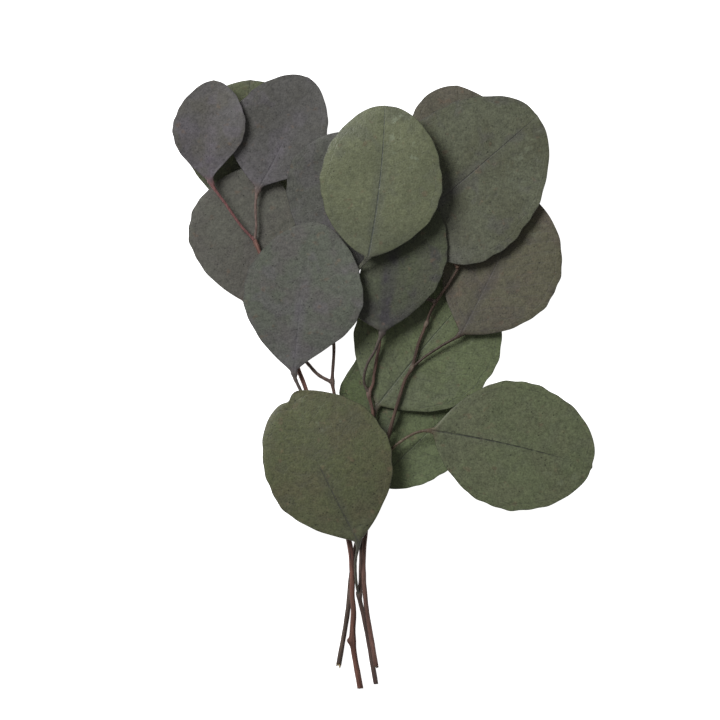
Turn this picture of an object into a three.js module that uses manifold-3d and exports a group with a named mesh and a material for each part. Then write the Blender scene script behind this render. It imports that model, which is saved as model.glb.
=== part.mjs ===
// A bunch of four cut eucalyptus branches lying flat: four woody stems and sixteen leaves with their stalks.
// Millimetres, +Z up. The surface that the bunch lies on is z = 0, and the cut ends point towards -Y.
import * as THREE from "three";
import { mergeVertices } from "three/addons/utils/BufferGeometryUtils.js";
import Module from "manifold-3d";

const wasm = await Module();
wasm.setup();

// ---- driving dimensions ----
const bladeHalf = 0.35; // half the blade's thickness
const stalkRadius = 0.75; // a leaf stalk's radius along its length
const stalkEnd = 0.6; // its radius where it stops short of the stem
const thickBase = 0.14; // the part of the blade's length in which the stalk thins into the blade
const leastTop = 0.3; // least thickness where the underside is pressed flat on the surface
const tipHalf = 0.5; // half width of the blade's cut-off last section
const bladeSections = 13;
const bladeColumns = 6;
const stalkStep = 5; // length of stalk between two sections
const stemSides = 8;
const stemStep = 6; // length of stem between two sections

// ---- leaves ----
// base and tip are the blade's ends [x, y]; left and right are the two halves, seen from base to tip:
// [half width, place of the widest point along the blade, base power, tip power]. A power of 0.5 rounds
// an end like an ellipse, less is blunter, more is more pointed.
// z holds the height of the base and of the tip; arch lifts the middle, lean tilts the blade sideways
// (rise per mm to the left), cup lifts the edges, sweep bows the midrib to the left.
// stalk lists the points [x, y, z] from the stem's axis to the blade, and gap is how far from the axis it starts.
const leaves = {
  leaf_top_left_small: {
    base: [-74.8, 85.5], tip: [-73.4, 129.7], left: [16.2, 0.49, 1.01, 0.75], right: [14.9, 0.54, 1.6, 0.69],
    z: [10, 10], arch: 1.5, lean: 0.02, cup: 1, sweep: 0.7, color: 0x5f5d5d,
    stalk: [[-56, 60.5, 7], [-61.3, 66, 8], [-68, 75.5, 9.2]], gap: 4.5,
  },
  leaf_top_left_back: {
    base: [-62.9, 72], tip: [-57.8, 129.4], left: [26.5, 0.56, 0.98, 0.68], right: [25, 0.45, 0.5, 0.35],
    z: [0.35, 0.2], arch: 0, lean: 0, cup: 1.2, sweep: 0.8, color: 0x555849,
    stalk: [[-50.5, 24.5, 4.6], [-52.5, 35, 1.6], [-59.5, 58, 1]], gap: 3.5,
  },
  leaf_top_centre: {
    base: [-54.6, 82.4], tip: [-32.8, 130.8], left: [25, 0.42, 0.95, 0.62], right: [17.3, 0.45, 1.41, 0.62],
    z: [7.4, 5.6], arch: 1.2, lean: 0, cup: 1.2, sweep: -1.6, color: 0x5a5858,
    stalk: [[-56, 60.5, 7], [-55.3, 66, 7.2], [-55.6, 76, 7.4]], gap: 5,
  },
  leaf_left_low: {
    base: [-59.6, 34.1], tip: [-55.1, 92.4], left: [27, 0.5, 0.81, 0.65], right: [19, 0.5, 0.85, 0.6],
    z: [3.9, 3.5], arch: 0.6, lean: 0.01, cup: -0.8, color: 0x605f59,
    stalk: [[-22.6, -0.6, 6.8], [-28.5, 2.6, 6.4], [-33.8, 8.2, 5.4], [-45, 20, 4.4]], gap: 3.2,
  },
  leaf_centre_grey: {
    base: [-30, 47], tip: [-11, 107], left: [24.1, 0.62, 1.33, 0.7], right: [24, 0.42, 0.42, 0.6],
    z: [9, 9.6], arch: 1, lean: 0.02, cup: 0.6, color: 0x565750,
    stalk: [[-24.7, 34.6, 8], [-27.4, 40.5, 8.5]], gap: 1.5,
  },
  leaf_centre_large: {
    base: [-39, 3.3], tip: [-30, 69.9], left: [25, 0.49, 0.99, 0.8], right: [26.3, 0.48, 1.43, 0.71],
    z: [12, 15], arch: 2.2, lean: 0, cup: 0.4, sweep: 1.3, color: 0x5a5d55,
    stalk: [[-33.5, -10.5, 6.6], [-36, -4.5, 8.8], [-38.6, 1.2, 11]], gap: 4,
  },
  leaf_top_light: {
    base: [-7.3, 53.1], tip: [-0.1, 118.5], left: [25.6, 0.49, 0.73, 0.67], right: [26.6, 0.48, 0.72, 0.49],
    z: [18.4, 18], arch: 3, lean: 0.02, cup: -1, sweep: -1.5, color: 0x686b56,
    stalk: [[-14.2, 38.5, 10.6], [-13.4, 44.2, 12.4], [-11, 48.6, 14.2]], gap: 1.5,
  },
  leaf_dark_centre: {
    base: [-1.2, 20.8], tip: [10, 81.4], left: [13.4, 0.12, 1.25, 0.45], right: [22.9, 0.56, 1.01, 0.48],
    z: [10.4, 11.4], arch: 0.4, lean: 0, cup: 0, sweep: 1.4, color: 0x4e5047,
    stalk: [[-6.9, -5, 6], [-8.8, -1.4, 6.6], [-9, 2, 7.4], [-7.4, 7.8, 8.6], [-4.3, 13.1, 9.6], [-2.8, 17, 10.2]],
    gap: 5,
  },
  leaf_top_right_large: {
    base: [7.7, 64.3], tip: [66.7, 114.9], left: [30.7, 0.46, 0.5, 0.56], right: [34.1, 0.38, 0.4, 0.7],
    z: [9.4, 6.2], arch: 0.8, lean: 0, cup: 0.4, sweep: -0.2, color: 0x5b5d4f,
    stalk: [[21.8, 34, 6.7], [15, 37, 7.4], [9.5, 45.5, 8.6], [7.6, 57, 9.2]], gap: 3,
  },
  leaf_top_right_back: {
    base: [26.7, 67.2], tip: [31.1, 127], left: [22.9, 0.56, 0.6, 0.5], right: [21.8, 0.71, 0.6, 0.75],
    z: [2.2, 0.2], arch: 0, lean: 0, cup: 0.6, sweep: -2.4, color: 0x5a5a50,
    stalk: [[31.6, 48.8, 7], [24, 57, 6.2], [20.5, 62.5, 4.2]], gap: 1.5,
  },
  leaf_right: {
    base: [32.7, 20.4], tip: [61.9, 79.8], left: [22, 0.46, 1.02, 0.6], right: [27.9, 0.51, 0.76, 0.62],
    z: [6.2, 3.4], arch: 0.4, lean: -0.03, cup: 0, sweep: -0.5, color: 0x5e5d4e,
    stalk: [[11.6, 5.8, 5.2], [17.1, 10.4, 5.3], [24, 15, 5.6]], gap: 3.2,
  },
  leaf_lower_green: {
    base: [-3.1, -10.1], tip: [40.6, 41.6], left: [31.5, 0.45, 0.69, 0.55], right: [30.5, 0.5, 0.86, 0.51],
    z: [4, 2.6], arch: -0.4, lean: 0, cup: 0, sweep: 0.8, color: 0x5e664c,
    stalk: [[-5.2, -17, 6.3], [-4.2, -13.4, 4.4]], gap: 3.2,
  },
  leaf_small_under: {
    base: [-2.6, -24.8], tip: [-12.3, 9.8], left: [12.7, 0.6, 0.5, 1.29], right: [14, 0.5, 0.6, 0.6],
    z: [2.4, 1.5], arch: 0, lean: 0, cup: 0.3, sweep: -1.4, color: 0x4d543d,
    stalk: [[-7.3, -36, 6.2], [-5.6, -31.5, 3.2]], gap: 2.9,
  },
  leaf_front_olive: {
    base: [-11.5, -68.9], tip: [-41.6, -6.2], left: [23.5, 0.5, 1.02, 0.55], right: [31.8, 0.52, 0.84, 0.61],
    z: [10.4, 9.8], arch: 1.6, lean: 0, cup: -1, sweep: 0.9, notch: 2, color: 0x575b45,
    stalk: [[-11, -92.7, 2.4], [-12.2, -87.6, 5.2], [-12.7, -81, 7.2], [-12.6, -76.6, 8.8]], gap: 4.2,
  },
  leaf_lower_right: {
    base: [20.8, -21.3], tip: [89.5, -37.2], left: [27.7, 0.47, 0.82, 0.44], right: [27.6, 0.49, 0.77, 0.64],
    z: [6.4, 0.2], arch: 0.8, lean: 0.05, cup: -0.6, sweep: 1.5, color: 0x585d49,
    stalk: [[-0.9, -32.6, 4.6], [5.6, -26.8, 5.6], [13.8, -22, 6.4]], gap: 3.4,
  },
  leaf_back_low: {
    base: [-4.2, -43.9], tip: [31, -10], left: [19, 0.5, 0.6, 0.5], right: [17.9, 0.63, 0.64, 0.5],
    z: [0.6, 0.2], arch: 0, lean: 0, cup: 0.4, color: 0x59614c,
    stalk: [[-7.2, -53, 2.8], [-6.8, -48.5, 1.3]], gap: 4,
  },
};

// ---- stems ----
// route lists the axis [x, y, z] from the cut end upwards, radius gives both ends, nodes are swellings
// [place along the stem, share added], and buds are stubs [place along the stem, angle about +Z, length].
const stems = {
  stem_middle: {
    route: [
      [-10.6, -132.2, 1.25], [-13.9, -111.6, 1.9], [-13.5, -98.7, 3.2], [-14.2, -92.7, 3.9], [-14.2, -81.5, 4.3],
      [-15.4, -69, 4.6], [-26, -37, 5.8], [-33.8, -4.1, 6.6], [-37.5, 5.8, 7.2], [-46, 33, 7.8], [-54, 55.7, 7],
      [-56, 60.5, 7],
    ],
    radius: [1.33, 0.85], nodes: [[0.11, 0.25], [0.98, 0.3]], buds: [[0.098, 118, 3]], color: 0x6e5449,
  },
  stem_right_thin: {
    route: [
      [-3.9, -130.3, 1.15], [-7.6, -109.4, 1.2], [-9.5, -99.5, 1.4], [-11, -92.7, 2.4], [-10.4, -85.4, 2.3],
      [-10.3, -80, 2.6], [-10.4, -69, 3.9], [-15.5, -40, 6.4], [-21.8, -5.6, 6.8], [-22.6, -0.6, 6.8],
      [-22, 15.7, 7.4], [-24.7, 34.6, 8],
    ],
    radius: [1.1, 0.7], nodes: [[0.23, 0.35], [0.79, 0.35]], buds: [], color: 0x4a403d,
  },
  stem_right: {
    route: [
      [-3.8, -122.8, 3.5], [-7.8, -98.7, 3.6], [-8.5, -92.5, 4], [-9.2, -84.3, 4.8], [-9.2, -76, 5.2],
      [-8.9, -70.3, 5.6], [-8, -62, 5.8], [-5.2, -14, 6.3], [-6.9, -5, 6], [-5.3, -1.8, 5.7], [-4.6, 3, 5.4],
      [-3.5, 10.1, 5.5], [-2.4, 15.8, 6.4], [-2, 21, 7.7], [-3.9, 27, 8.1], [-8.6, 33, 8.4], [-14.2, 38.5, 10.6],
    ],
    radius: [1.12, 0.62], nodes: [[0.23, 0.15], [0.71, 0.45]], buds: [], color: 0x715c54,
  },
  stem_left: {
    route: [
      [-19.9, -121.9, 1.2], [-16, -98.7, 1.2], [-14.8, -85.4, 1.2], [-12.1, -69, 1.3], [-9.2, -60, 1.7],
      [-4.4, -45, 3.6], [2.1, -21.3, 5.4], [5.4, -9.6, 5.6], [8.8, 0.8, 5.3], [11.6, 5.8, 5.2], [12.8, 10.1, 5],
      [14.4, 16.2, 4.8], [17.7, 24.5, 5.2], [19.2, 29.1, 5.9], [21.8, 34, 6.7], [28, 42.8, 7], [31.6, 48.8, 7],
    ],
    radius: [1.17, 0.62], nodes: [[0.73, 0.35], [0.84, 0.4]], buds: [[0.84, 160, 2.2]], color: 0x503e3a,
  },
};

// ---- shared geometry ----
const smooth = (x) => {
  const t = Math.min(1, Math.max(0, x));
  return t * t * (3 - 2 * t);
};

// Rings of equal length become one closed body: a band between each two rings and a fan at each end.
// Each ring runs right edge, top, left edge, bottom.
function skin(rings) {
  const n = rings[0].length;
  const points = rings.flat();
  const faces = [];
  const quad = (a, b, c, d) => faces.push(a, d, c, a, c, b);
  for (let i = 0; i + 1 < rings.length; i++)
    for (let k = 0; k < n; k++) quad(i * n + k, i * n + ((k + 1) % n), (i + 1) * n + ((k + 1) % n), (i + 1) * n + k);
  const last = (rings.length - 1) * n;
  for (let k = 1; k + 1 < n; k++) {
    faces.push(0, k, k + 1);
    faces.push(last, last + k + 1, last + k);
  }
  const geometry = new THREE.BufferGeometry().setFromPoints(points);
  geometry.setIndex(faces);
  return geometry;
}

function solid(geometry) {
  const bare = mergeVertices(geometry, 1e-4);
  const mesh = new wasm.Mesh({
    numProp: 3,
    vertProperties: new Float32Array(bare.attributes.position.array),
    triVerts: new Uint32Array(bare.index.array),
  });
  return new wasm.Manifold(mesh);
}

function geometryOf(body) {
  const mesh = body.getMesh();
  const geometry = new THREE.BufferGeometry();
  geometry.setAttribute("position", new THREE.BufferAttribute(mesh.vertProperties, 3));
  geometry.setIndex(new THREE.BufferAttribute(mesh.triVerts, 1));
  return geometry;
}

// ---- one leaf ----
// Half of the outline: the base side and the tip side are each a power of 1 - x², x measured from the
// widest point.
function halfWidth(s, [width, widest, basePower, tipPower]) {
  const x = s < widest ? (widest - s) / widest : (s - widest) / (1 - widest);
  return width * Math.pow(Math.max(0, 1 - x * x), s < widest ? basePower : tipPower);
}

// One flat section: columns across by a cosine, upper side and underside meeting at both edges.
// place(v) gives the middle point at v from -1 (right edge) to 1 (left edge).
function section(place, half, roundness) {
  const ring = [];
  const column = (j) => -Math.cos((Math.PI * j) / bladeColumns);
  for (let j = 0; j <= bladeColumns; j++) {
    const v = column(j);
    const rise = half * Math.pow(Math.max(0, 1 - v * v), roundness);
    const p = place(v);
    ring.push(new THREE.Vector3(p.x, p.y, Math.max(j % bladeColumns ? leastTop : 0, p.z + rise)));
  }
  for (let j = bladeColumns - 1; j > 0; j--) {
    const v = column(j);
    const rise = half * Math.pow(1 - v * v, roundness);
    const p = place(v);
    ring.push(new THREE.Vector3(p.x, p.y, Math.max(0, p.z - rise)));
  }
  return ring;
}

function leafGeometry(leaf) {
  const { arch = 0, lean = 0, cup = 0, sweep = 0, notch = 0 } = leaf;
  const base = new THREE.Vector2(...leaf.base);
  const along = new THREE.Vector2(...leaf.tip).sub(base);
  const length = along.length();
  along.normalize();
  const left = new THREE.Vector2(-along.y, along.x);
  const widest = Math.max(leaf.left[0], leaf.right[0]);
  const rings = [];

  // the stalk: a smooth curve through its points that runs on into the blade
  const blend = 3;
  const points = leaf.stalk.map((p) => new THREE.Vector3(...p));
  points.push(new THREE.Vector3(base.x, base.y, leaf.z[0]));
  points.push(new THREE.Vector3(base.x + along.x * blend, base.y + along.y * blend, leaf.z[0]));
  const curve = new THREE.CatmullRomCurve3(points, false, "centripetal");
  const stalkLength = curve.getLength() - blend;
  const count = Math.max(3, Math.round((stalkLength - leaf.gap) / stalkStep));
  for (let i = 0; i < count; i++) {
    const t = (leaf.gap + ((stalkLength - leaf.gap) * i) / count) / curve.getLength();
    const p = curve.getPointAt(t);
    const d = curve.getTangentAt(t);
    const side = new THREE.Vector2(-d.y, d.x).normalize();
    const radius = stalkEnd + (stalkRadius - stalkEnd) * smooth((i * 2) / count);
    const place = (v) => new THREE.Vector3(p.x + side.x * v * radius, p.y + side.y * v * radius, p.z);
    rings.push(section(place, radius, 0.5));
  }

  // the blade
  for (let i = 0; i <= bladeSections; i++) {
    const s = (1 - Math.cos((Math.PI * i) / bladeSections)) / 2;
    const least = i === bladeSections ? tipHalf : stalkRadius;
    const wide = [leaf.right, leaf.left].map((side) => Math.max(least, halfWidth(s, side)));
    const thin = smooth(s / thickBase);
    const place = (v) => {
      const c = v * wide[v > 0 ? 1 : 0];
      const a = s * length - notch * smooth((s - 0.7) / 0.3) * Math.exp(-((c / 5) ** 2));
      const bow = sweep * 4 * s * (1 - s);
      const z = leaf.z[0] + (leaf.z[1] - leaf.z[0]) * s + arch * 4 * s * (1 - s) + lean * c + cup * (c / widest) ** 2;
      return new THREE.Vector3(
        base.x + along.x * a + left.x * (c + bow),
        base.y + along.y * a + left.y * (c + bow),
        z,
      );
    };
    rings.push(section(place, stalkRadius + (bladeHalf - stalkRadius) * thin, 0.5 - 0.25 * thin));
  }
  return skin(rings);
}

// ---- one stem ----
// A round tube along its route, tapered from the cut end to the top, thicker at its nodes; a bud is a small
// cone joined on.
function stemGeometry(stem) {
  const curve = new THREE.CatmullRomCurve3(stem.route.map((p) => new THREE.Vector3(...p)), false, "centripetal");
  const steps = Math.round(curve.getLength() / stemStep);
  const radiusAt = (t) => {
    const swell = stem.nodes.reduce((sum, [at, share]) => sum + share * Math.exp(-(((t - at) * 60) ** 2)), 0);
    return (stem.radius[0] + (stem.radius[1] - stem.radius[0]) * t) * (1 + swell);
  };
  const places = Array.from({ length: steps + 1 }, (_, i) => i / steps);
  stem.nodes.forEach(([at]) => places.push(Math.min(at, 1)));
  places.sort((a, b) => a - b);
  const rings = places
    .filter((t, i) => i === 0 || t - places[i - 1] > 0.004)
    .map((t) => {
      const p = curve.getPointAt(t);
      const d = curve.getTangentAt(t);
      const side = new THREE.Vector3(-d.y, d.x, 0).normalize();
      const up = new THREE.Vector3().crossVectors(d, side);
      return Array.from({ length: stemSides }, (_, k) => {
        const angle = (2 * Math.PI * k) / stemSides;
        const r = radiusAt(t);
        const q = p.clone().addScaledVector(side, -r * Math.cos(angle)).addScaledVector(up, r * Math.sin(angle));
        q.z = Math.max(0, q.z);
        return q;
      });
    });
  let body = solid(skin(rings));
  for (const [at, angle, length] of stem.buds) {
    const cone = new THREE.CylinderGeometry(0.35, 0.75, length, 6);
    cone.deleteAttribute("normal");
    cone.deleteAttribute("uv");
    const p = curve.getPointAt(at);
    const turn = THREE.MathUtils.degToRad(angle);
    cone.rotateZ(-Math.PI / 2 + turn);
    cone.translate(p.x + (Math.cos(turn) * length) / 2, p.y + (Math.sin(turn) * length) / 2, p.z + 0.2);
    body = body.add(solid(cone));
  }
  return geometryOf(body);
}

// ---- the bunch ----
const bunch = new THREE.Group();
function addPiece(name, geometry, color, roughness) {
  const material = new THREE.MeshStandardMaterial({ color, roughness, metalness: 0 });
  const mesh = new THREE.Mesh(geometry, material);
  mesh.name = name;
  bunch.add(mesh);
}
for (const [name, stem] of Object.entries(stems)) addPiece(name, stemGeometry(stem), stem.color, 0.8);
for (const [name, leaf] of Object.entries(leaves)) addPiece(name, leafGeometry(leaf), leaf.color, 0.6);

// the origin is at the middle of the bunch's box, on the surface it lies on
const box = new THREE.Box3().setFromObject(bunch);
bunch.position.set(-(box.min.x + box.max.x) / 2, -(box.min.y + box.max.y) / 2, -box.min.z);

export default bunch;
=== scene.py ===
import bpy
import numpy as np
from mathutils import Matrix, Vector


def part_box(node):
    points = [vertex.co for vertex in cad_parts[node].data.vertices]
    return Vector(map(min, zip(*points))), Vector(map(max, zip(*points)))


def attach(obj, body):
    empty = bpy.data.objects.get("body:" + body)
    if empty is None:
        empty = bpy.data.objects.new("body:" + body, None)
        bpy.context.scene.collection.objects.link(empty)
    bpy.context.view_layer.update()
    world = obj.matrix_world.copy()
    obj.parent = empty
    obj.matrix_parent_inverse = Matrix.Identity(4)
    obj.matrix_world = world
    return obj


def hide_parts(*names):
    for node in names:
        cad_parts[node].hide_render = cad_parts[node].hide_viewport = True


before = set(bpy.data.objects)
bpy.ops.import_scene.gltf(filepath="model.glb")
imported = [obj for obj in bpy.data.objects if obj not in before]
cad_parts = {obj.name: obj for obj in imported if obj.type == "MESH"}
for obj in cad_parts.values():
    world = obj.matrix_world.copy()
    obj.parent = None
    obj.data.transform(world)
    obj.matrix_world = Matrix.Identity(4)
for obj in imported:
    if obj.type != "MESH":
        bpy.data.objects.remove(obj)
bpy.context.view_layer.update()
mm = 0.001  # lengths below are millimetres, the scene is in metres
print("frame loaded,", len(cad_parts), "nodes")

curveSamples = 60  # points worked out between two given points of a path


def smoothStep(x):  # 0 to 1 with flat ends
    t = np.clip(x, 0, 1)
    return t * t * (3 - 2 * t)


def gauss(x, width):  # a bell that is 1 at x = 0
    return np.exp(-(x / width) ** 2)


# A centripetal Catmull-Rom curve through the points, as positions, tangents and lengths at even steps.
# Each stretch is a cubic whose end slopes come from the neighbours, weighted by the root of the distance.
def smoothPath(points, step):
    p = np.array(points, float)
    p = np.vstack([2 * p[0] - p[1], p, 2 * p[-1] - p[-2]])
    gap = np.sqrt(np.linalg.norm(np.diff(p, axis=0), axis=1))[:, None]
    p0, p1, p2, p3 = p[:-3], p[1:-2], p[2:-1], p[3:]
    g0, g1, g2 = gap[:-2], gap[1:-1], gap[2:]
    m1 = g1 * ((p1 - p0) / g0 - (p2 - p0) / (g0 + g1) + (p2 - p1) / g1)
    m2 = g1 * ((p2 - p1) / g1 - (p3 - p1) / (g1 + g2) + (p3 - p2) / g2)
    t = np.linspace(0, 1, curveSamples)[None, :, None]
    a, b, m, n = (k[:, None, :] for k in (p1, p2, m1, m2))
    dense = (2 * t**3 - 3 * t**2 + 1) * a + (t**3 - 2 * t**2 + t) * m
    dense = dense + (3 * t**2 - 2 * t**3) * b + (t**3 - t**2) * n
    dense = dense.reshape(-1, 3)
    keep = np.append(True, np.linalg.norm(np.diff(dense, axis=0), axis=1) > 1e-9)
    dense = dense[keep]
    run = np.append(0, np.cumsum(np.linalg.norm(np.diff(dense, axis=0), axis=1)))
    at = np.linspace(0, run[-1], max(3, int(round(run[-1] / step)) + 1))
    line = np.stack([np.interp(at, run, dense[:, k]) for k in range(3)], axis=1)
    tangent = np.gradient(line, at, axis=0)
    tangent /= np.linalg.norm(tangent, axis=1)[:, None]
    return line, tangent, at


def addObject(name, data):
    thing = bpy.data.objects.new(name, data)
    bpy.context.collection.objects.link(thing)
    return thing


# Turns a grid of rings (rows x points round x 3, mm) into one closed mesh: bands of quads, and a fan at each
# end. The rings run so that right edge, top, left edge, bottom faces outwards. marks are vector attributes.
def closedMesh(name, rings, marks):
    rows, around = rings.shape[:2]
    ends = np.stack([rings[0].mean(0), rings[-1].mean(0)])
    verts = np.vstack([rings.reshape(-1, 3), ends]) * mm
    i = np.arange(rows - 1)[:, None] * around
    k = np.arange(around)[None, :]
    k2 = (k + 1) % around
    quads = np.stack([i + k, i + around + k, i + around + k2, i + k2], axis=-1).reshape(-1, 4)
    k, k2 = k[0], k2[0]
    last = (rows - 1) * around
    first = np.stack([k, k2, np.full(around, rows * around)], axis=-1)
    final = np.stack([last + k2, last + k, np.full(around, rows * around + 1)], axis=-1)
    mesh = bpy.data.meshes.new(name)
    mesh.from_pydata(verts.tolist(), [], quads.tolist() + first.tolist() + final.tolist())
    mesh.polygons.foreach_set("use_smooth", np.ones(len(mesh.polygons), bool))
    for markName, values in marks.items():
        values = np.vstack([values.reshape(-1, 3), values[0].mean(0), values[-1].mean(0)])
        layer = mesh.attributes.new(markName, "FLOAT_VECTOR", "POINT")
        layer.data.foreach_set("vector", values.astype(np.float32).ravel())
    mesh.validate()
    mesh.update()
    return addObject(name, mesh)


def finishPiece(piece, node, material):
    piece.data.materials.append(material)
    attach(piece, "root")
    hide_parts(node)


def linear(red, green, blue):  # 0-255 screen colour to the renderer's linear colour
    c = np.array([red, green, blue]) / 255
    c = np.where(c <= 0.04045, c / 12.92, ((c + 0.055) / 1.055) ** 2.4)
    return (*c.tolist(), 1.0)


shine = 0.012            # the grey that a dull waxy surface adds
leastPigment = 0.003


def pigment(red, green, blue):       # the pigment under the shine: the colour that shows, less the shine
    under = np.array(linear(red, green, blue)[:3]) - shine
    return (*np.maximum(under, leastPigment).tolist(), 1.0)


# A node group with an input for each entry of plain, a colour or a value, and a skin's three outputs.
def newSkinGroup(name, plain):
    group = bpy.data.node_groups.new(name, "ShaderNodeTree")
    for label, default in plain.items():
        isColor = isinstance(default, tuple)
        kind = "NodeSocketColor" if isColor else "NodeSocketFloat"
        socket = group.interface.new_socket(label, in_out="INPUT", socket_type=kind)
        socket.default_value = pigment(*default) if isColor else default
    outputs = {"Color": "NodeSocketColor", "Roughness": "NodeSocketFloat", "Height": "NodeSocketFloat"}
    for label, kind in outputs.items():
        group.interface.new_socket(label, in_out="OUTPUT", socket_type=kind)
    return group, group.nodes.new("NodeGroupInput").outputs, group.nodes.new("NodeGroupOutput").inputs


class Wiring:  # short ways to add nodes to one tree
    def __init__(self, tree):
        self.tree = tree

    def put(self, value, socket):
        if isinstance(value, bpy.types.NodeSocket):
            self.tree.links.new(value, socket)
        else:
            socket.default_value = value

    def math(self, operation, a, b=0.0, c=0.0):
        node = self.tree.nodes.new("ShaderNodeMath")
        node.operation = operation
        for value, socket in zip((a, b, c), node.inputs):
            self.put(value, socket)
        return node.outputs[0]

    def times(self, value, *factors):
        for factor in factors:
            value = self.math("MULTIPLY", value, factor)
        return value

    def less(self, value, part, share):  # value - part x share
        return self.math("SUBTRACT", value, self.math("MULTIPLY", part, share))

    def swing(self, value, amount, middle):  # a 0-1 value turned into middle, give or take half the amount
        return self.math("MULTIPLY_ADD", self.math("SUBTRACT", value, 0.5), amount, middle)

    def ramp(self, value, low, high, outLow=0.0, outHigh=1.0):  # smooth step from low to high
        node = self.tree.nodes.new("ShaderNodeMapRange")
        node.interpolation_type = "SMOOTHSTEP"
        labels = ("Value", "From Min", "From Max", "To Min", "To Max")
        for entry, label in zip((value, low, high, outLow, outHigh), labels):
            self.put(entry, node.inputs[label])
        return node.outputs["Result"]

    def fade(self, value, low, high):        # smooth step from 1 at low to 0 at high
        return self.ramp(value, low, high, 1.0, 0.0)

    def mix(self, factor, a, b, blend="MIX"):
        node = self.tree.nodes.new("ShaderNodeMix")
        node.data_type = "RGBA"
        node.blend_type = blend
        self.put(factor, node.inputs[0])
        self.put(a, node.inputs[6])
        self.put(b, node.inputs[7])
        return node.outputs[2]

    def shaded(self, color, value):  # color x a grey of that value
        grey = self.tree.nodes.new("ShaderNodeCombineColor")
        for k in range(3):
            self.tree.links.new(value, grey.inputs[k])
        return self.mix(1.0, color, grey.outputs[0], "MULTIPLY")

    def attribute(self, name):
        node = self.tree.nodes.new("ShaderNodeAttribute")
        node.attribute_name = name
        return node.outputs["Vector"]

    def split(self, vector):
        node = self.tree.nodes.new("ShaderNodeSeparateXYZ")
        self.tree.links.new(vector, node.inputs[0])
        return node.outputs[0], node.outputs[1], node.outputs[2]

    def place(self, scale=(1, 1, 1), source=None):  # object coordinates, or the source, scaled
        if source is None:
            source = self.tree.nodes.new("ShaderNodeTexCoord").outputs["Object"]
        node = self.tree.nodes.new("ShaderNodeMapping")
        self.tree.links.new(source, node.inputs["Vector"])
        node.inputs["Scale"].default_value = scale
        return node.outputs[0]

    def noise(self, vector, scale, detail=2.0, rough=0.5):
        node = self.tree.nodes.new("ShaderNodeTexNoise")
        self.tree.links.new(vector, node.inputs["Vector"])
        node.inputs["Scale"].default_value = scale
        node.inputs["Detail"].default_value = detail
        node.inputs["Roughness"].default_value = rough
        return node.outputs["Fac"]

    def cells(self, vector, scale):
        node = self.tree.nodes.new("ShaderNodeTexVoronoi")
        self.tree.links.new(vector, node.inputs["Vector"])
        node.inputs["Scale"].default_value = scale
        return node.outputs["Distance"]

    def patches(self, vector, scale, low, high, out=(0.0, 1.0), detail=2.0):     # where a noise is high
        return self.ramp(self.noise(vector, scale, detail), low, high, *out)

    def dots(self, vector, scale, low, high):            # at the middles of cells
        return self.fade(self.cells(vector, scale), low, high)


# Patterns are (scale per metre, where the mask starts, where it is full), or the other way round for dots.
leafFinish = {
    "mottle": 1300, "mottleDepth": 1.3,
    "grain": 429, "grainDepth": 0.85,
    "gland": (950, 0.1, 0.34), "glandDepth": 0.16,   # oil glands
    "dot": (480, 0.08, 0.2), "dotDepth": 0.6,        # the larger dark dots
    "dotGroup": (240, 0.42, 0.6),
    "blotch": 75, "blotchRange": (0.4, 0.62),        # broad patches of the second colour
    "spot": (260, 0.62, 0.76), "spotShare": 0.35,    # rusty spots
    "cloud": (110, 0.52, 0.66), "cloudOut": (0.0, 0.75),     # the tint away from the base
    "wander": (165, 0.3, 0.7), "wanderOut": (0.55, 1.25),    # the tint stronger here, weaker there
    "tintReach": (0.02, 0.42),  # shares of the length over which the tint at the base fades
    "ribTint": (0.6, 5.0),  # mm out from the midrib over which its tint fades
    "ribTintReach": (0.3, 0.85), "ribTintShare": 1.3,
    "veinSpacing": 5.2,  # side veins along the midrib, mm
    "veinSlope": 0.62,  # how far a side vein runs towards the tip per mm outwards
    "veinBend": 5.0, "bend": 60, "veinHalf": 0.06, "veinEnd": (1.6, 3.2), "veinStart": (0.0, 0.08),
    "edgeVein": 2.6, "edgeVeinWander": 0.9, "edgeVeinHalf": 0.28,  # mm in from the edge
    "edgeVeinStart": (0.04, 0.2),
    "ribHalf": (0.45, 0.2),  # the midrib's half width at the base and at the tip, mm
    "ribSoft": (0.45, 1.15), "ribTip": (0.9, 1.0), "ribTipShare": 0.3,
    "worn": (420, 0.3, 0.6), "wornOut": (0.45, 1.0),  # worn places in its line
    "ribFade": 0.22, "ribFadeLeast": 0.06, "ribStartFade": 0.1,
    # painted highlights: where the pale glints sit, how tight and large they are, their pattern, share and
    # colour
    "glintPlace": (0.8, -0.45), "glintTight": (9.0, 2.5), "glintSize": 0.5,  # by the tip's right edge
    "glint": (330, 0.54, 0.7), "glintShare": 0.6, "glintColor": (146, 156, 134),
    # the rim: a darker edge, partly dry and partly painted shade
    "rimRange": (0.1, 0.45), "rimShare": 0.4, "rimColor": (0.012, 0.011, 0.009, 1),  # the dry edge
    "underShare": 0.45, "underColor": (150, 152, 138),
    "streak": (1800, 0.3, 0.7), "streakStretch": 0.25, "streakOut": (0.72, 1.28),  # on the stalk
    "stalkRange": (-2.5, 3.5),  # mm along the midrib over which the stalk's colour gives way
    "rough": 0.62, "roughSwing": 0.35, "glossDrop": 0.22, "roughLimits": (0.25, 0.95),
    "mottleBump": 0.55, "grainBump": 0.9, "glandBump": 0.15,
    "veinBump": 0.1, "edgeVeinBump": 0.2, "ribBump": 1.1,
    "bumpDepth": 0.00022, "specular": 0.4,
}

# A leaf's skin where its own entry doesn't say: screen colours and shares.
plainSkin = {
    "Base": (90, 94, 72), "Patch": (82, 84, 70), "Tint": (88, 86, 84), "Stalk": (84, 78, 66),
    "Vein": (66, 64, 62), "Spot": (112, 92, 76), "Patches": 0.5, "Tinting": 0.4, "Veins": 0.5,
    "Side Veins": 0.07, "Edge Vein": 0.05, "Mottle": 1.0, "Gloss": 0.0,
    "Rib Start": -1.0, "Rib Reach": 1.2,  # shares of the length between which the midrib's line shows
}
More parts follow.
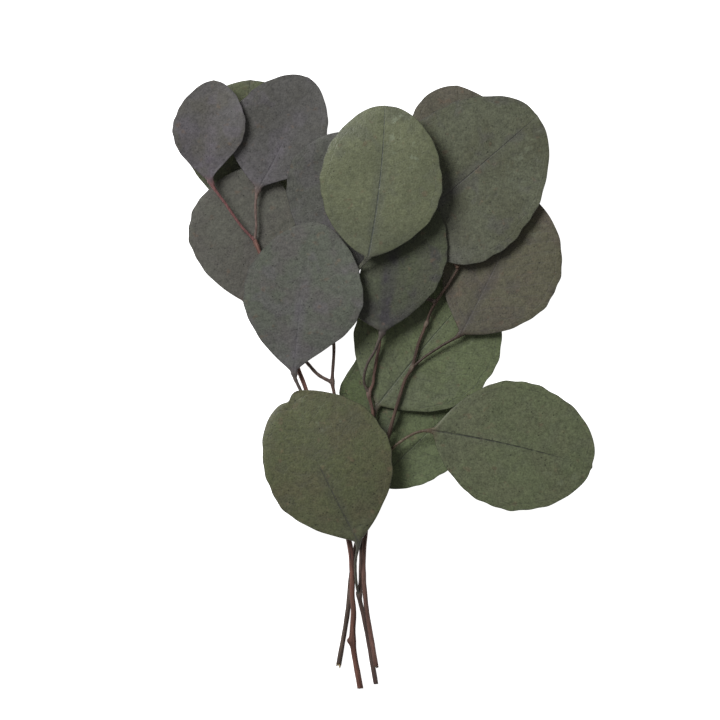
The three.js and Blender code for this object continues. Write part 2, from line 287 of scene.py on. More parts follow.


# The leaf's skin: a base colour with patches, tint and mottle, then side veins, edge vein, midrib, painted
# glints, rim darkened partly as painted shade, underside and stalk, all drawn from the blade's own map.
def buildLeafSkin():
    f = leafFinish
    group, skin, out = newSkinGroup("leafSkin", plainSkin)
    w = Wiring(group)
    # mm along the midrib, out from it, in from the edge; shares of length and width, and 1 above
    along, across, rim = w.split(w.attribute("bladeMap"))
    s, v, upper = w.split(w.attribute("bladeMark"))
    spread = w.math("ABSOLUTE", across)
    where = w.place()

    mottle = w.noise(where, f["mottle"], 2.0, 0.6)
    grain = w.noise(where, f["grain"])
    gland = w.dots(where, *f["gland"])
    dot = w.times(w.dots(where, *f["dot"]), w.patches(where, *f["dotGroup"], detail=1.0))
    blotch = w.ramp(w.noise(where, f["blotch"], 3.0, 0.55), *f["blotchRange"])
    color = w.mix(w.times(blotch, skin["Patches"]), skin["Base"], skin["Patch"])

    # tint: strong at the base, thinning along the midrib, and in a few clouds
    nearBase = w.fade(s, *f["tintReach"])
    nearRib = w.times(w.fade(spread, *f["ribTint"]), w.ramp(s, *f["ribTintReach"], f["ribTintShare"], 0.0))
    tint = w.times(w.math("MAXIMUM", nearBase, nearRib), w.patches(where, *f["wander"], f["wanderOut"]))
    tint = w.math("MAXIMUM", tint, w.patches(where, *f["cloud"], f["cloudOut"]))
    color = w.mix(w.times(tint, skin["Tinting"]), color, skin["Tint"])
    color = w.mix(w.times(w.patches(where, *f["spot"]), f["spotShare"]), color, skin["Spot"])

    # mottle and grain lighten and darken, glands and dots darken
    shade = w.swing(grain, f["grainDepth"], w.swing(mottle, f["mottleDepth"], 1.0))
    shade = w.less(w.less(shade, gland, f["glandDepth"]), dot, f["dotDepth"])
    shade = w.math("MULTIPLY_ADD", w.math("SUBTRACT", shade, 1.0), skin["Mottle"], 1.0)
    color = w.shaded(color, shade)

    # side veins: stripes that leave the midrib slanted towards the tip, bent by a slow noise
    bend = w.times(w.noise(where, f["bend"], 1.0), f["veinBend"])
    phase = w.math("ADD", w.less(along, spread, f["veinSlope"]), bend)
    phase = w.math("FRACT", w.math("DIVIDE", phase, f["veinSpacing"]))
    toVein = w.math("ABSOLUTE", w.math("SUBTRACT", phase, 0.5))
    veinLine = w.times(w.fade(toVein, 0.0, f["veinHalf"]), w.ramp(rim, *f["veinEnd"]))
    veinLine = w.times(veinLine, w.ramp(s, *f["veinStart"]))
    color = w.mix(w.times(veinLine, skin["Side Veins"]), color, skin["Vein"])

    # edge vein: a line at an even distance from the edge
    toEdgeVein = w.math("SUBTRACT", rim, w.math("MULTIPLY_ADD", grain, f["edgeVeinWander"], f["edgeVein"]))
    edgeLine = w.fade(w.math("ABSOLUTE", toEdgeVein), 0.0, f["edgeVeinHalf"])
    edgeLine = w.times(edgeLine, w.ramp(s, *f["edgeVeinStart"]))
    color = w.mix(w.times(edgeLine, skin["Edge Vein"]), color, skin["Vein"])

    # midrib: a thin dark line that narrows to the tip, worn in places, between its start and its reach
    ribHalf = w.ramp(s, 0.0, 1.0, *f["ribHalf"])
    ribLine = w.fade(w.math("DIVIDE", spread, ribHalf), *f["ribSoft"])
    ribLine = w.times(ribLine, w.ramp(s, *f["ribTip"], 1.0, f["ribTipShare"]))
    worn = w.patches(where, *f["worn"], f["wornOut"])
    reach = skin["Rib Reach"]
    fade = w.ramp(s, w.math("SUBTRACT", reach, f["ribFade"]), reach, 1.0, f["ribFadeLeast"])
    start = skin["Rib Start"]
    fade = w.times(fade, w.ramp(s, start, w.math("ADD", start, f["ribStartFade"])))
    ribMask = w.times(w.times(ribLine, worn), w.times(fade, skin["Veins"]))
    color = w.mix(ribMask, color, skin["Vein"])

    # painted highlights: a few pale glints by the tip of a glossy leaf, thickest at one place and patchy
    ahead = w.math("POWER", w.math("SUBTRACT", s, f["glintPlace"][0]), 2.0)
    aside = w.math("POWER", w.math("ABSOLUTE", w.math("SUBTRACT", v, f["glintPlace"][1])), 2.0)
    toGlint = w.math("MULTIPLY_ADD", ahead, f["glintTight"][0], w.times(aside, f["glintTight"][1]))
    glint = w.times(w.fade(toGlint, 0.0, f["glintSize"]), w.patches(where, *f["glint"]), skin["Gloss"], upper)
    color = w.mix(w.times(glint, f["glintShare"]), color, linear(*f["glintColor"]))

    # rim: a thin darker edge, partly its dry edge and partly painted shade along the edge
    rimMask = w.ramp(rim, *f["rimRange"], f["rimShare"], 0.0)
    color = w.mix(rimMask, color, w.mix(0.5, color, skin["Vein"]))
    color = w.mix(rimMask, color, f["rimColor"])

    # underside: paler and greyer
    below = w.math("SUBTRACT", 1.0, upper)
    color = w.mix(w.times(below, f["underShare"]), color, linear(*f["underColor"]))

    # stalk: its own colour, streaked, turning into the blade's where the blade begins
    streak = w.patches(w.place((1, f["streakStretch"], 1)), *f["streak"], f["streakOut"])
    color = w.mix(w.fade(along, *f["stalkRange"]), color, w.shaded(skin["Stalk"], streak))
    group.links.new(color, out["Color"])

    rough = w.less(w.swing(mottle, f["roughSwing"], f["rough"]), skin["Gloss"], f["glossDrop"])
    rough = w.math("MINIMUM", w.math("MAXIMUM", rough, f["roughLimits"][0]), f["roughLimits"][1])
    group.links.new(rough, out["Roughness"])
    height = w.math("MULTIPLY_ADD", mottle, f["mottleBump"], w.times(grain, f["grainBump"]))
    height = w.less(w.less(height, veinLine, f["veinBump"]), edgeLine, f["edgeVeinBump"])
    height = w.less(w.less(height, ribMask, f["ribBump"]), gland, f["glandBump"])
    group.links.new(height, out["Height"])
    return group


leafSkin = buildLeafSkin()


# One material round a skin group. Colours are turned into pigment, and the other values go in as they are.
def skinMaterial(name, group, values, finish):
    material = bpy.data.materials.new(name)
    material.use_nodes = True
    tree = material.node_tree
    shader = tree.nodes["Principled BSDF"]
    skin = tree.nodes.new("ShaderNodeGroup")
    skin.node_tree = group
    for label, value in values.items():
        skin.inputs[label].default_value = pigment(*value) if isinstance(value, tuple) else value
    bump = tree.nodes.new("ShaderNodeBump")
    bump.inputs["Distance"].default_value = finish["bumpDepth"]
    bump.inputs["Strength"].default_value = 0.8
    tree.links.new(skin.outputs["Color"], shader.inputs["Base Color"])
    tree.links.new(skin.outputs["Roughness"], shader.inputs["Roughness"])
    tree.links.new(skin.outputs["Height"], bump.inputs["Height"])
    tree.links.new(bump.outputs["Normal"], shader.inputs["Normal"])
    shader.inputs["Specular IOR Level"].default_value = finish["specular"]
    return material


leafMake = {
    "bladeRows": 84,
    "bladeColumns": 44,  # from the right edge to the left
    "stalkStep": 0.7,  # mm between rows of the stalk
    "bladeHalf": 0.2,  # half the blade's thickness
    "stalkRadius": 0.75,  # where the stalk runs into the blade
    "stalkFlare": 0.45, "stalkFlareLength": 1.6,  # thicker where it grows out of the stem
    "stalkRipple": 0.05, "stalkRippleRate": 1.9,
    "seam": 0.3, "seamShare": 0.005,  # the maps' step from the stalk to the blade, mm and share
    "turnLength": 4,  # the stalk's section turns level with the blade over this much, mm
    "slimLength": 5,  # and grows from its own radius to the one above over this much
    "runOn": 3.0,  # how far the stalk's curve runs on into the blade
    "baseFlare": 0.75,  # how much wider the stalk grows where it runs into the blade, mm
    "flareInStalk": 1.3, "flareInBlade": 1.6,
    "neckStart": 0.5, "leastHalf": 0.08,  # the blade is never narrower than its stalk
    "edgeRipples": [(9, 0.007, 0), (26, 0.009, 2), (57, 0.007, 4)],  # rate, share of the width, phase
    "nibWidth": 0.9, "lobeTurn": 1.4, "lobeWidth": 9, "tipStart": 0.72,
    "openEnd": 0.12,  # share of the length before the fold and the waves are full
    "fold": 0.35, "foldRound": 0.004, "foldDrop": 0.063,
    "edgePower": 2.5, "edgeWaves": 1.6, "edgeSlant": 0.3,
    "innerShare": 0.4, "innerRate": 7, "innerSlant": 3.1, "innerPower": 6,
    "thinEnd": 0.14,  # share of the length by which the blade has thinned
    "squareness": 8,  # how flat the section gets: its power grows from 2 to this much more
    "grooveDepth": 0.22, "grooveWidth": 0.45, "grooveFade": 0.6,
    "ridgeDepth": 0.34, "ridgeWidth": 0.55, "ridgeFade": 0.85,
    "tipRim": 0.8,  # the rim's measure runs in from the tip at this share of the distance
    "leastRise": 0.04,  # lowest that an underside may lie
    "leastThickness": 0.1,
}

# A leaf's shape where its own entry doesn't say, mm: sweep bends the midrib sideways, arch lifts its middle,
# lean is height per mm to the left, cup lifts both edges, notch cuts the tip back, nib is a point in it, lobe
# pushes the tip's right half out, and wave is the height of the waves.
plainLeaf = {
    "sweep": 0, "arch": 0, "lean": 0, "cup": 0, "notch": 0, "notchWidth": 4, "nib": 0.12, "lobe": 0,
    "wave": 0.28, "stalkRadius": 0.75,
}


# Half the outline: base side and tip side are each a power of 1 - x², with x measured from the widest point.
def halfWidth(s, side):
    width, widest, basePower, tipPower = side
    x = np.where(s < widest, (widest - s) / widest, (s - widest) / (1 - widest))
    return width * np.clip(1 - x * x, 0, 1) ** np.where(s < widest, basePower, tipPower)


# The blade as a grid: x and y from the outline, and the height as a sloping line plus an arch, a sideways
# lean, raised or lowered edges, a shallow fold along the midrib and slow waves. Its thickness goes from the
# stalk's to the blade's, with a groove along the midrib above and a ridge below.
def bladeGrid(leaf, s, v, ahead, left, length, wobble):
    m = leafMake
    widest = max(leaf["left"][0], leaf["right"][0])
    base = leaf["base"]
    zBase, zTip = leaf["z"]
    ripple = [1 + sum(share * np.sin(rate * s + wobble[k + first]) for rate, share, first in m["edgeRipples"])
              for k in (0, 1)]
    narrow = m["stalkRadius"] * (1 - smoothStep((s - m["neckStart"]) / (1 - m["neckStart"]))) + m["leastHalf"]
    narrow = narrow + m["baseFlare"] * np.exp(-s * length / m["flareInBlade"])
    halfRight = np.hypot(halfWidth(s, leaf["right"]) * ripple[0], narrow)
    halfLeft = np.hypot(halfWidth(s, leaf["left"]) * ripple[1], narrow)
    half = np.where(v > 0, halfLeft, halfRight)
    c = v * half
    share = c / widest

    tipEdge = leaf["nib"] * gauss(c, m["nibWidth"]) - leaf["notch"] * gauss(c, leaf["notchWidth"])
    tipEdge = tipEdge + leaf["lobe"] * np.tanh(-c / m["lobeTurn"]) * gauss(c, m["lobeWidth"])
    a = s * length + tipEdge * smoothStep((s - m["tipStart"]) / (1 - m["tipStart"]))
    hump = 4 * s * (1 - s)
    out = c + leaf["sweep"] * hump
    x = base[0] + ahead[0] * a + left[0] * out
    y = base[1] + ahead[1] * a + left[1] * out

    opened = smoothStep(s / m["openEnd"])
    z = zBase + (zTip - zBase) * s + leaf["arch"] * hump + leaf["lean"] * c + leaf["cup"] * share**2
    z = z + m["fold"] * (np.sqrt(share**2 + m["foldRound"]) - m["foldDrop"]) * opened
    edgeWave = np.sin(2 * np.pi * (m["edgeWaves"] * s + m["edgeSlant"] * v) + wobble[6])
    z = z + leaf["wave"] * np.abs(v) ** m["edgePower"] * edgeWave * opened
    innerWave = np.sin(m["innerRate"] * s + m["innerSlant"] * v + wobble[7])
    z = z + m["innerShare"] * leaf["wave"] * innerWave * opened * (1 - v ** m["innerPower"])

    thin = smoothStep(s / m["thinEnd"])
    middle = m["stalkRadius"] + (m["bladeHalf"] - m["stalkRadius"]) * thin
    thick = middle * np.sqrt(np.clip(1 - np.abs(v) ** (2 + m["squareness"] * thin), 0, 1))
    groove = m["grooveDepth"] * leaf["skin"].get("Veins", plainSkin["Veins"]) * gauss(c, m["grooveWidth"])
    groove = groove * thin * (1 - m["grooveFade"] * s)
    ridge = m["ridgeDepth"] * gauss(c, m["ridgeWidth"]) * thin * (1 - m["ridgeFade"] * s)
    top = np.stack([x, y, z + thick - groove], axis=-1)
    low = np.stack([x, y, z - thick - ridge * (np.abs(v) < 1)], axis=-1)
    rim = np.minimum((1 - np.abs(v)) * half, (1 - s) * length * m["tipRim"])
    bladeMap = np.stack([a + 0 * v, c, rim], axis=-1)
    bladeMark = np.stack([s + 0 * v, v + 0 * s, np.ones_like(c)], axis=-1)
    return top, low, bladeMap, bladeMark


# The stalk as a grid: a round section carried along its curve, flared at the stem and widened at the blade.
# Its sideways direction turns level with the blade's on the last stretch.
def stalkGrid(leaf, v, ahead, left, length, wobble):
    m = leafMake
    base, z = np.array(leaf["base"], float), leaf["z"][0]
    points = [*leaf["stalk"], (*base, z), (*(base + ahead * m["runOn"]), z)]
    line, tangent, at = smoothPath(points, m["stalkStep"])
    keep = at < at[-1] - m["runOn"] - 0.25 * m["stalkStep"]
    line, tangent, at = line[keep], tangent[keep], at[keep]
    toBase = (at[-1] - at)[:, None]
    side = np.stack([-tangent[:, 1], tangent[:, 0]], axis=1)
    side /= np.linalg.norm(side, axis=1)[:, None]
    side = side + (left - side) * (1 - smoothStep(toBase / m["turnLength"]))
    side /= np.linalg.norm(side, axis=1)[:, None]
    radius = leaf["stalkRadius"] * (1 + m["stalkFlare"] * gauss(at, m["stalkFlareLength"]))[:, None]
    radius = radius + (m["stalkRadius"] - leaf["stalkRadius"]) * (1 - smoothStep(toBase / m["slimLength"]))
    radius = radius * (1 + m["stalkRipple"] * np.sin(at * m["stalkRippleRate"] + wobble[0]))[:, None]
    wide = radius + m["baseFlare"] * np.exp(-toBase / m["flareInStalk"])
    x = line[:, 0:1] + side[:, 0:1] * v * wide
    y = line[:, 1:2] + side[:, 1:2] * v * wide
    rise = radius * np.sqrt(np.clip(1 - v * v, 0, 1))
    top = np.stack([x, y, line[:, 2:3] + rise], axis=-1)
    low = np.stack([x, y, line[:, 2:3] - rise], axis=-1)
    stalkMap = np.stack([-toBase - m["seam"] + 0 * v, v * radius, 0 * v + radius], axis=-1)
    share = -toBase / length - m["seamShare"]
    stalkMark = np.stack([share + 0 * v, v + 0 * radius, np.ones_like(x)], axis=-1)
    return top, low, stalkMap, stalkMark


# One leaf as rings of points. Along the midrib s goes from base to tip, closer together at both ends; v goes
# across from the right edge (-1) to the left edge (1), closer together at the edges.
def leafRings(leaf):
    m = leafMake
    rng = np.random.default_rng(leaf["seed"])
    base, tip = np.array(leaf["base"], float), np.array(leaf["tip"], float)
    length = np.linalg.norm(tip - base)
    ahead = (tip - base) / length
    left = np.array([-ahead[1], ahead[0]])
    v = np.sin(np.linspace(-1, 1, m["bladeColumns"] + 1) * np.pi / 2)[None, :]
    s = ((1 - np.cos(np.linspace(0, np.pi, m["bladeRows"]))) / 2)[:, None]
    wobble = rng.uniform(0, 2 * np.pi, 8)
    blade = bladeGrid(leaf, s, v, ahead, left, length, wobble)
    stalk = stalkGrid(leaf, v, ahead, left, length, wobble)
    top, low, map_, mark = (np.concatenate(pair) for pair in zip(stalk, blade))

    # the underside stays above the surface, and the top above the underside
    low[..., 2] = np.maximum(low[..., 2], m["leastRise"])
    top[..., 2] = np.maximum(top[..., 2], low[..., 2])
    top[:, 1:-1, 2] = np.maximum(top[:, 1:-1, 2], low[:, 1:-1, 2] + m["leastThickness"])
    under = mark[:, -2:0:-1].copy()
    under[..., 2] = 0
    return np.concatenate([top, low[:, -2:0:-1]], axis=1), {
        "bladeMap": np.concatenate([map_, map_[:, -2:0:-1]], axis=1),
        "bladeMark": np.concatenate([mark, under], axis=1),
    }


stemMake = {
    "step": 0.6,  # mm between rows
    "around": 28,
    "lengthRipples": [(0.31, 0.035, 0), (0.83, 0.02, 1)],  # rate per mm, share of the radius, phase
    "roundRipples": [(2, 0.06, 0.03, 2), (5, 0, 0.018, 3), (9, 0.12, 0.012, 4)],  # folds, twist, share, phase
    "budPower": 3, "budEnd": 1.8,  # a bud falls off faster towards the top
    "cutShares": [0.2, 0.42, 0.62, 0.8, 0.93, 1.0],  # rings of the cut face, from its middle out
    "cutEdge": 0.9,  # the share beyond which a ring of the cut is bark
    "endRound": 0.35,  # how far the bark's edge is rounded over at the cut
    "roundOver": 0.1,  # the share of the cut's radius that is rounded over
    "ragged": [(3, 1), (7, 0.7), (11, 0.5)],  # folds, share
    "raggedAt": 0.75, "raggedFall": 1.3,  # most ragged at this share of the radius
    "slantTurn": 0.6,
    "dome": [(0.8, 0.3), (0.45, 0.5)],  # share of the radius, rise of the top's closing rings
    "leastRise": 0.03,
}


# The cut end: rings that shrink to the middle, pushed out and in to a ragged or a clean face.
def cutRings(stem, first, tangent, bark, angle, wobble):
    m = stemMake
    cut = stem["cut"]
    ragged = 0
    for (folds, share), phase in zip(m["ragged"], (wobble[5], wobble[1], 0)):
        ragged = ragged + cut["ragged"] * share * np.sin(folds * angle + phase)
    centre = first.mean(0)
    rings, barks, marks = [], [], []
    for share in m["cutShares"]:
        out = ragged * (1 - abs(share - m["raggedAt"]) * m["raggedFall"])
        out = out - m["endRound"] * smoothStep((1 - share) / m["roundOver"])
        out = out + cut["slant"] * share * np.cos(angle + m["slantTurn"])
        rings.append(centre + (first - centre) * share - tangent * out[:, None])
        barks.append(bark * [share, share, 1])
        marks.append(np.stack([0 * out, 0 * out + (share < m["cutEdge"]), 0 * out + share], axis=-1))
    return np.stack(rings), np.stack(barks), np.stack(marks)


# One stem as rings of points round its route. The radius tapers from end to end, swells at the nodes and is
# rippled by slow sines; buds are bumps on one side, as high as a power of the cosine of the angle from them.
def stemRings(stem):
    m = stemMake
    rng = np.random.default_rng(stem["seed"])
    line, tangent, at = smoothPath(stem["route"], m["step"])
    length = at[-1]
    along = at[:, None]
    t = along / length
    side = np.stack([-tangent[:, 1], tangent[:, 0], np.zeros(len(t))], axis=1)
    side /= np.linalg.norm(side, axis=1)[:, None]
    up = np.cross(tangent, side)
    angle = (2 * np.pi * np.arange(m["around"]) / m["around"])[None, :]
    wobble = rng.uniform(0, 2 * np.pi, 6)
    radius = stem["radius"][0] + (stem["radius"][1] - stem["radius"][0]) * t
    node = 0 * t
    for place, share, width in stem["nodes"]:
        node = node + share * gauss((t - place) * length, width)
    scale = 1 + node
    for rate, share, phase in m["lengthRipples"]:
        scale = scale + share * np.sin(rate * along + wobble[phase])
    for folds, twist, share, phase in m["roundRipples"]:
        scale = scale + share * np.sin(folds * angle + twist * along + wobble[phase])
    for place, turn, height, width in stem["buds"]:
        near = (t - place) * length / width
        facing = np.clip(np.cos(angle - np.radians(turn)), 0, 1) ** m["budPower"]
        scale = scale + height * facing * gauss(np.where(near < 0, near, near * m["budEnd"]), 1)
    r = radius * scale
    rings = line[:, None, :] - side[:, None, :] * (r * np.cos(angle))[..., None]
    rings = rings + up[:, None, :] * (r * np.sin(angle))[..., None]
    bark = np.stack([np.cos(angle) * radius, np.sin(angle) * radius, along + 0 * angle], axis=-1)
    mark = np.stack([t + 0 * angle, 0 * t + 0 * angle, node + 0 * angle], axis=-1)
    ends = cutRings(stem, rings[0], tangent[0], bark[0], angle[0], wobble)
    rings, bark, mark = (np.concatenate([end, rest[1:]]) for end, rest in zip(ends, (rings, bark, mark)))

    # the top closes over in a small dome
    last, middle = rings[-1], rings[-1].mean(0)
    for share, rise in m["dome"]:
        rings = np.concatenate([rings, (middle + (last - middle) * share + tangent[-1] * rise)[None]])
        bark = np.concatenate([bark, bark[-1:]])
        mark = np.concatenate([mark, mark[-1:]])
    rings[..., 2] = np.maximum(rings[..., 2], m["leastRise"])
    return rings, {"barkMap": bark, "barkMark": mark}


barkFinish = {
    "streakScale": 1.5, "streakDepth": 3.4,  # streaks round the stem, per mm
    "fineScale": 4.8, "fineDepth": 1.2,
    "streakStretch": 0.07,  # a streak's width over its length
    "patch": (0.09, 0.38, 0.62),
    "speck": (2200, 0.12, 0.3), "speckShare": 0.3,
    "topRange": (0.18, 0.42),  # shares of the length over which the colour turns into the top's
    "knotRange": (0.12, 0.5), "knotShare": 0.35,  # paler where the node swells
    "pithEnd": 0.35,  # share of the cut's radius that has a darker middle
    "woodRange": (0.4, 0.7), "woodShare": 0.5,
    "rough": 0.78, "roughSwing": 0.4,
    "streakBump": 0.7, "fineBump": 0.45, "speckBump": 0.2,
    "bumpDepth": 0.0005, "specular": 0.35,
}
plainBark = {
    "Base": (96, 72, 65), "Patch": (90, 74, 66), "Light": (134, 116, 106), "Wood": (150, 130, 104),
    "Top": (92, 74, 68), "Patches": 0.5,
}


# Bark: long streaks of lighter and darker colour, slow patches of a second colour, pale dots, rings at the
# nodes; the cut face shows pale wood with a darker middle.
def buildBarkSkin():
    f = barkFinish
    group, skin, out = newSkinGroup("barkSkin", plainBark)
    w = Wiring(group)
    t, cutFace, knot = w.split(w.attribute("barkMark"))
    barkMap = w.attribute("barkMap")
    stretched = w.place((1, 1, f["streakStretch"]), barkMap)
    streak = w.noise(stretched, f["streakScale"], 3.0, 0.6)
    fine = w.noise(stretched, f["fineScale"])
    speck = w.dots(w.place(), *f["speck"])

    color = w.mix(w.ramp(t, *f["topRange"]), skin["Base"], skin["Top"])
    color = w.mix(w.times(w.patches(barkMap, *f["patch"]), skin["Patches"]), color, skin["Patch"])
    color = w.shaded(color, w.swing(fine, f["fineDepth"], w.swing(streak, f["streakDepth"], 1.0)))
    color = w.mix(w.times(speck, f["speckShare"]), color, skin["Light"])
    color = w.mix(w.times(w.ramp(knot, *f["knotRange"]), f["knotShare"]), color, skin["Light"])
    wood = w.mix(w.fade(knot, 0.0, f["pithEnd"]), skin["Wood"], skin["Base"])
    wood = w.mix(w.ramp(fine, *f["woodRange"], 0.0, f["woodShare"]), wood, skin["Light"])
    group.links.new(w.mix(cutFace, color, wood), out["Color"])
    group.links.new(w.swing(streak, f["roughSwing"], f["rough"]), out["Roughness"])
    height = w.math("ADD", w.times(streak, f["streakBump"]), w.times(fine, f["fineBump"]))
    group.links.new(w.less(height, speck, f["speckBump"]), out["Height"])
    return group


barkSkin = buildBarkSkin()

# route is the axis (x, y, z) from the cut end up, radius is at both ends, nodes are (place, share added,
# width in mm) and buds (place, angle round the stem, height, width in mm). A place is a share of the length.
stemMiddle = {
    "node": "stem_middle", "slot": "bark_red_brown", "seed": 3, "radius": (1.3, 0.8),
    "route": [
        (-10.6, -132.2, 1.25), (-13.9, -111.6, 1.9), (-13.5, -98.7, 3.2), (-14.2, -92.7, 3.9),
        (-14.2, -81.5, 4.3), (-15.4, -69, 4.6), (-26, -37, 5.8), (-33.8, -4.1, 6.6), (-37.5, 5.8, 7.2),
        (-46, 33, 7.8), (-54, 55.7, 7), (-56, 60.5, 7),
    ],
    "nodes": [(0.104, 0.2, 2.5), (0.62, 0.25, 2.5), (0.99, 0.35, 2.5)],
    "buds": [(0.106, 180, 0.8, 1.6)], "cut": {"ragged": 0.05, "slant": 0.15},
    "skin": {
        "Base": (104, 73, 64), "Patch": (90, 70, 60), "Light": (140, 112, 100), "Wood": (150, 124, 96),
        "Top": (116, 85, 79),
    },
}
stemRightThin = {
    "node": "stem_right_thin", "slot": "bark_dark", "seed": 5, "radius": (1.08, 0.66),
    "route": [
        (-3.9, -130.3, 1.15), (-7.6, -109.4, 1.2), (-9.5, -99.5, 1.4), (-11, -92.7, 2.4),
        (-10.4, -85.4, 2.3), (-10.3, -80, 2.6), (-10.4, -69, 3.9), (-15.5, -40, 6.4), (-21.8, -5.6, 6.8),
        (-22.6, -0.6, 6.8), (-22, 15.7, 7.4), (-24.7, 34.6, 8),
    ],
    "nodes": [(0.235, 0.4, 1.8), (0.79, 0.45, 1.7)],
    "buds": [(0.24, 150, 0.4, 1.3)], "cut": {"ragged": 0.04, "slant": 0.1},
    "skin": {
        "Base": (82, 67, 63), "Patch": (68, 62, 56), "Light": (120, 108, 100), "Wood": (120, 104, 88),
        "Top": (92, 74, 68),
    },
}
stemRight = {
    "node": "stem_right", "slot": "bark_brown", "seed": 7, "radius": (1.1, 0.55),
    "route": [
        (-3.8, -122.8, 3.5), (-7.8, -98.7, 3.6), (-8.5, -92.5, 4), (-9.2, -84.3, 4.8), (-9.2, -76, 5.2),
        (-8.9, -70.3, 5.6), (-8, -62, 5.8), (-5.2, -14, 6.3), (-6.9, -5, 6), (-5.3, -1.8, 5.7),
        (-4.6, 3, 5.4), (-3.5, 10.1, 5.5), (-2.4, 15.8, 6.4), (-2, 21, 7.7), (-3.9, 27, 8.1),
        (-8.6, 33, 8.4), (-14.2, 38.5, 10.6),
    ],
    "nodes": [(0.24, 0.12, 2.5), (0.707, 0.6, 2.0)],
    "buds": [(0.285, 110, 0.25, 1.2)], "cut": {"ragged": 0.3, "slant": 0.5},
    "skin": {
        "Base": (96, 72, 65), "Patch": (106, 82, 74), "Light": (134, 116, 108), "Wood": (160, 140, 120),
        "Top": (80, 64, 58), "Patches": 0.7,
    },
}
stemLeft = {
    "node": "stem_left", "slot": "bark_grey_brown", "seed": 11, "radius": (1.15, 0.55),
    "route": [
        (-19.9, -121.9, 1.2), (-16, -98.7, 1.2), (-14.8, -85.4, 1.2), (-12.1, -69, 1.3), (-9.2, -60, 1.7),
        (-4.4, -45, 3.6), (2.1, -21.3, 5.4), (5.4, -9.6, 5.6), (8.8, 0.8, 5.3), (11.6, 5.8, 5.2),
        (12.8, 10.1, 5), (14.4, 16.2, 4.8), (17.7, 24.5, 5.2), (19.2, 29.1, 5.9), (21.8, 34, 6.7),
        (28, 42.8, 7), (31.6, 48.8, 7),
    ],
    "nodes": [(0.734, 0.45, 1.8), (0.844, 0.6, 1.5), (0.9, 0.2, 1.6)],
    "buds": [(0.847, 70, 0.5, 1.1)], "cut": {"ragged": 1.0, "slant": 0.3},
    "skin": {
        "Base": (76, 66, 60), "Patch": (90, 76, 68), "Light": (136, 126, 112), "Wood": (176, 156, 112),
        "Top": (78, 64, 57), "Patches": 0.6,
    },
}
stems = [stemMiddle, stemRightThin, stemRight, stemLeft]
stemShapes = [stemRings(stem) for stem in stems]


# How far the frame's origin is from the origin of the numbers here: the mean gap between each packed stem's
# box and its own shape.
def frameShift():
    gaps = []
    for stem, (rings, marks) in zip(stems, stemShapes):
        low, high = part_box(stem["node"])
        flat = rings.reshape(-1, 3)
        gaps.append((np.array(low) + np.array(high)) / (2 * mm) - (flat.min(0) + flat.max(0)) / 2)
    shift = np.mean(gaps, axis=0)
    shift[2] = 0
    return shift


shift = frameShift()
print("shift into the frame, mm:", shift.round(2))

for stem, (rings, marks) in zip(stems, stemShapes):
    material = skinMaterial("bark " + stem["node"], barkSkin, {**plainBark, **stem["skin"]}, barkFinish)
    piece = closedMesh(stem["node"] + "_bark", rings + shift, marks)
    finishPiece(piece, stem["node"], material)
print("stems made")

# base and tip are the blade's ends and z their heights; left and right are the blade's halves as (half width,
# place of the widest point, base power, tip power); stalk runs from the stem's axis to the blade.
leafTopLeftSmall = {
    "node": "leaf_top_left_small", "slot": "leaf_purple_grey", "seed": 21,
    "base": (-74.8, 85.5), "tip": (-73.4, 129.7), "z": (10, 10),
    "left": (16.2, 0.49, 1.01, 0.75), "right": (14.9, 0.54, 1.6, 0.69),
    "sweep": 0.7, "arch": 1.5, "lean": 0.02, "cup": 1, "notch": 0.7, "notchWidth": 3, "stalkRadius": 0.58,
    "stalk": [(-56, 60.5, 7), (-61.3, 66, 8), (-68, 75.5, 9.2)],
    "skin": {
        "Base": (88, 86, 86), "Patch": (87, 85, 74), "Tint": (98, 93, 100), "Stalk": (112, 78, 77),
        "Vein": (112, 100, 112), "Tinting": 0.6, "Veins": 0.12, "Rib Reach": 0.6,
    },
}
leafTopLeftBack = {
    "node": "leaf_top_left_back", "slot": "leaf_fresh_green", "seed": 22,
    "base": (-62.9, 72), "tip": (-57.8, 129.4), "z": (0.35, 0.2),
    "left": (26.5, 0.56, 0.98, 0.68), "right": (25, 0.45, 0.5, 0.35),
    "sweep": 0.8, "cup": 1.2, "wave": 0.12,
    "stalk": [(-50.5, 24.5, 4.6), (-52.5, 35, 1.6), (-59.5, 58, 1)],
    "skin": {
        "Base": (90, 94, 72), "Patch": (80, 84, 66), "Tint": (90, 90, 86), "Stalk": (104, 84, 72),
        "Vein": (66, 66, 60), "Side Veins": 0.3, "Edge Vein": 0.1, "Gloss": 0.1,
    },
}
leafTopCentre = {
    "node": "leaf_top_centre", "slot": "leaf_purple_grey", "seed": 23,
    "base": (-54.6, 82.4), "tip": (-32.8, 130.8), "z": (7.4, 5.6),
    "left": (25, 0.42, 0.95, 0.62), "right": (17.3, 0.45, 1.41, 0.62),
    "sweep": -1.6, "arch": 1.2, "cup": 1.2, "notch": 0.5, "stalkRadius": 0.55,
    "stalk": [(-56, 60.5, 7), (-55.3, 66, 7.2), (-55.6, 76, 7.4)],
    "skin": {
        "Base": (83, 82, 80), "Patch": (81, 80, 74), "Tint": (94, 90, 95), "Stalk": (102, 86, 80),
        "Vein": (70, 66, 72), "Patches": 0.4, "Tinting": 0.6, "Veins": 0.45, "Rib Reach": 0.5,
    },
}
